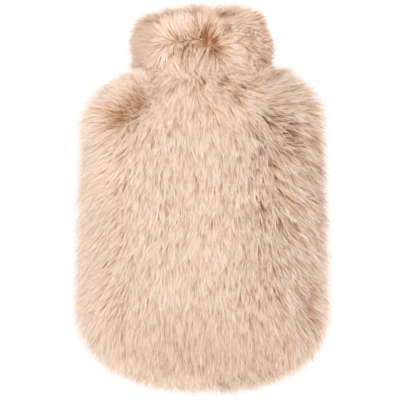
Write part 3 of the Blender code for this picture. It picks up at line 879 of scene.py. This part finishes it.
def pile_material():
    """Colour by the place along each hair, varied by the tone of its lock. Some light shines through."""
    material, nodes, links, shader = new_material("pile", 0.62)
    shader.inputs["Specular IOR Level"].default_value = 0.0
    colours = bpy.context.scene.cover_colours
    uv = nodes.new("ShaderNodeUVMap")
    uv.uv_map = "OFBake"
    split = nodes.new("ShaderNodeSeparateXYZ")
    links.new(uv.outputs["UV"], split.inputs[0])
    along = [(0.20, colours.root), (0.60, colours.middle), (0.95, colours.tip)]
    # Below even: random darker locks and painted shade in partings and valleys. Above: painted rim shade
    tints = [(0.0, colours.shade), (0.25, colours.warm), (0.50, colours.even), (1.0, colours.rim_shade)]
    colour = ramp(nodes, links, split.outputs["X"], along)
    tint = ramp(nodes, links, split.outputs["Y"], tints)
    product = multiplied(nodes, links, colour, tint)
    links.new(product, shader.inputs["Base Color"])
    through = nodes.new("ShaderNodeBsdfTranslucent")
    links.new(product, through.inputs["Color"])
    blended(nodes, links, shader.outputs["BSDF"], through.outputs["BSDF"]).default_value = 0.40
    return material


def knit_material():
    """Fine knitted backing: columns of small slanted stitches, from the cloth's own UV map in metres."""
    material, nodes, links, shader = new_material("knitted_backing", 0.9)
    uv = nodes.new("ShaderNodeUVMap")
    uv.uv_map = "UVMap"
    size = nodes.new("ShaderNodeMapping")
    size.inputs["Scale"].default_value = (1 / STITCH_WIDTH, 1 / STITCH_HEIGHT, 1.0)
    links.new(uv.outputs["UV"], size.inputs["Vector"])
    columns, rows = nodes.new("ShaderNodeTexWave"), nodes.new("ShaderNodeTexWave")
    columns.bands_direction, rows.bands_direction = "X", "DIAGONAL"
    for wave in (columns, rows):
        wave.inputs["Scale"].default_value = BANDS
        wave.inputs["Distortion"].default_value = 0.4
        links.new(size.outputs["Vector"], wave.inputs["Vector"])
    stitches = multiplied(nodes, links, columns.outputs["Color"], rows.outputs["Color"])
    backing = bpy.context.scene.cover_colours.backing
    # Painted shade: the hollows between stitches are darker than the yarn
    hollow = [0.55 * part for part in backing]
    yarn = ramp(nodes, links, stitches, [(0.0, hollow), (0.6, backing)])
    links.new(yarn, shader.inputs["Base Color"])
    bump = nodes.new("ShaderNodeBump")
    bump.inputs["Strength"].default_value = 0.6
    bump.inputs["Distance"].default_value = 0.0003
    links.new(stitches, bump.inputs["Height"])
    links.new(bump.outputs["Normal"], shader.inputs["Normal"])
    return material


# --- The cloth ---
CLOTH_THICKNESS = 0.0016
WELD = 0.0001  # points nearer than this are joined


def cloth(name, points, material, towards_pile, flat, area, held, pile):
    """A thin knitted sheet through a grid of points, with its UV map in metres."""
    rows, columns = points.shape[:2]
    bpy.ops.object.select_all(action="DESELECT")
    bpy.ops.mesh.primitive_grid_add(x_subdivisions=columns - 1, y_subdivisions=rows - 1, size=1)
    piece = bpy.context.object
    piece.name = piece.data.name = name
    piece.data.vertices.foreach_set("co", points.astype(np.float32).ravel())
    along = np.linalg.norm(np.diff(points, axis=0), axis=-1).mean(axis=1)
    across = np.linalg.norm(np.diff(points[rows // 2], axis=0), axis=-1)
    corner = np.empty(len(piece.data.loops), np.int32)
    piece.data.loops.foreach_get("vertex_index", corner)
    row, column = np.divmod(corner, columns)
    sideways, lengthways = np.append(0.0, np.cumsum(across)), np.append(0.0, np.cumsum(along))
    uv = np.stack([sideways[column], lengthways[row]], axis=-1)
    piece.data.uv_layers["UVMap"].data.foreach_set("uv", uv.astype(np.float32).ravel())
    bpy.ops.object.mode_set(mode="EDIT")
    bpy.ops.mesh.select_all(action="SELECT")
    bpy.ops.mesh.remove_doubles(threshold=WELD)
    bpy.ops.object.mode_set(mode="OBJECT")
    wall = piece.modifiers.new("thickness", "SOLIDIFY")
    wall.thickness = CLOTH_THICKNESS
    wall.offset = 1.0 if towards_pile else -1.0
    bpy.ops.object.modifier_apply(modifier=wall.name)
    bpy.ops.object.shade_smooth()
    piece.data.materials.append(material)
    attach(piece, BODY)


# --- Operators ---
FRONT_SEEDS, BACK_SEEDS, COLLAR_SEEDS = (10, 20), (30, 40), (77, 78)  # of the locks' lie, and of the hairs


class COVER_OT_front_pile(bpy.types.Operator):
    """Grow the pile of the front, combed down and parted at the shoulder"""

    bl_idname = "cover.front_pile"
    bl_label = "Front Pile"

    def execute(self, context):
        lie, hairs = FRONT_SEEDS
        locks = body_locks("front", context.scene.cover_pile.front_locks, lie, front_density)
        dressed("front_pile", locks, 3, hairs, ("front_panel", "seam_locks"), pile_material())
        return {"FINISHED"}


class COVER_OT_back_pile(bpy.types.Operator):
    """Grow the pile of the back, which lies pressed flat under the cover"""

    bl_idname = "cover.back_pile"
    bl_label = "Back Pile"

    def execute(self, context):
        lie, hairs = BACK_SEEDS
        locks = body_locks("back", context.scene.cover_pile.back_locks, lie, back_density)
        dressed("back_pile", locks, 1, hairs, ("back_panel", "seam_locks"), pile_material())
        return {"FINISHED"}


class COVER_OT_collar_pile(bpy.types.Operator):
    """Grow the pile of the turned-over collar, which points away from its parting"""

    bl_idname = "cover.collar_pile"
    bl_label = "Collar Pile"

    def execute(self, context):
        lie, hairs = COLLAR_SEEDS
        locks = collar_locks(context.scene.cover_pile.collar_locks, lie)
        dressed("collar_pile", locks, 1, hairs, ("collar", "mouth_locks"), pile_material())
        return {"FINISHED"}


class COVER_OT_backing(bpy.types.Operator):
    """Knit the thin cloth that the pile grows from"""

    bl_idname = "cover.backing"
    bl_label = "Knitted Backing"

    def execute(self, context):
        knit = knit_material()
        panel = {"towards_pile": True, "flat": (0.235, 0.325), "area": 0.062, "held": "stretched"}
        front = body_surface("front", True, CLOTH_ROWS, CLOTH_COLUMNS)
        cloth("front_cloth", front, knit, pile=["front_pile_1"], **panel)
        back = body_surface("back", True, CLOTH_ROWS, CLOTH_COLUMNS)[:, ::-1]
        cloth("back_cloth", back, knit, pile=["back_pile_1"], **panel)
        tube = {"towards_pile": False, "flat": (0.23, 0.07), "area": None, "held": "folded"}
        collar = collar_surface(True, CLOTH_STEPS)
        cloth("collar_cloth", collar, knit, pile=["collar_pile_1"], **tube)
        return {"FINISHED"}


FLOOR_SIZE, FLOOR_GREY = 8.0, 0.92
WHITE = (1.0, 1.0, 1.0, 1.0)
KEY_PLACE, KEY_SIZE = (-0.15, 0.30, 1.9), 1.6
VIEW_MIDDLE = (-0.0018, -0.0005)  # the point that the camera is above
VIEW_LEVEL = SEAM_HEIGHT + 0.004  # the height that the camera looks at


def lay_floor(glow):
    """A pale floor, which the camera sees as plain white."""
    bpy.ops.object.select_all(action="DESELECT")
    bpy.ops.mesh.primitive_plane_add(size=FLOOR_SIZE, location=(0, 0, 0))
    floor = bpy.context.object
    floor.name = "floor"
    material, nodes, links, shader = new_material("floor", 0.9)
    shader.inputs["Base Color"].default_value = opaque([FLOOR_GREY] * 3)
    shader.inputs["Emission Color"].default_value = WHITE
    shader.inputs["Emission Strength"].default_value = glow
    even = nodes.new("ShaderNodeEmission")
    seen = nodes.new("ShaderNodeLightPath")
    share = blended(nodes, links, shader.outputs["BSDF"], even.outputs["Emission"])
    links.new(seen.outputs["Is Camera Ray"], share)
    floor.data.materials.append(material)


def light_studio(scene, settings):
    """Light from all round, and one large light above the upper left."""
    world = bpy.data.worlds.new("studio")
    scene.world = world
    world.use_nodes = True
    background = world.node_tree.nodes["Background"]
    background.inputs["Color"].default_value = WHITE
    background.inputs["Strength"].default_value = settings.sky
    scene.view_settings.view_transform = "Standard"

    turned = (-Vector(KEY_PLACE)).to_track_quat("-Z", "Y").to_euler()
    bpy.ops.object.light_add(type="AREA", location=KEY_PLACE, rotation=turned)
    key = bpy.context.object
    key.name = "key"
    key.data.size = KEY_SIZE
    key.data.energy = settings.key


class COVER_OT_studio(bpy.types.Operator):
    """Set the pale floor, the soft lights and the camera above the cover"""

    bl_idname = "cover.studio"
    bl_label = "Studio"

    def execute(self, context):
        settings = context.scene.cover_studio
        lay_floor(settings.floor_glow)
        light_studio(context.scene, settings)
        place = (*VIEW_MIDDLE, VIEW_LEVEL + settings.camera_height)
        bpy.ops.object.camera_add(location=place, rotation=(0, 0, 0))
        camera = context.object
        camera.data.lens = camera.data.sensor_width * settings.camera_height / settings.view_width
        context.scene.camera = camera
        return {"FINISHED"}


class COVER_PT_panel(bpy.types.Panel):
    """Lists the cover's pieces and their settings"""

    bl_idname = "COVER_PT_panel"
    bl_label = "Bottle Cover"
    bl_space_type = "VIEW_3D"
    bl_region_type = "UI"
    bl_category = "Bottle Cover"

    def draw(self, context):
        scene = context.scene
        for group in (scene.cover_pile, scene.cover_colours, scene.cover_studio):
            box = self.layout.box()
            for name in group.__annotations__:
                box.prop(group, name)
        for operator in OPERATORS:
            self.layout.operator(operator.bl_idname)


GROUPS = {"cover_pile": PileSizes, "cover_colours": PileColours, "cover_studio": StudioSettings}
OPERATORS = (
    COVER_OT_front_pile,
    COVER_OT_back_pile,
    COVER_OT_collar_pile,
    COVER_OT_backing,
    COVER_OT_studio,
)


def register():
    for kind in (*GROUPS.values(), *OPERATORS, COVER_PT_panel):
        bpy.utils.register_class(kind)
    for name, group in GROUPS.items():
        setattr(bpy.types.Scene, name, bpy.props.PointerProperty(type=group))


def unregister():
    for name in GROUPS:
        delattr(bpy.types.Scene, name)
    for kind in reversed((*GROUPS.values(), *OPERATORS, COVER_PT_panel)):
        bpy.utils.unregister_class(kind)


def main():
    register()
    bpy.ops.cover.front_pile()
    bpy.ops.cover.back_pile()
    bpy.ops.cover.collar_pile()
    bpy.ops.cover.backing()
    bpy.ops.cover.studio()


if __name__ == "__main__":
    main()
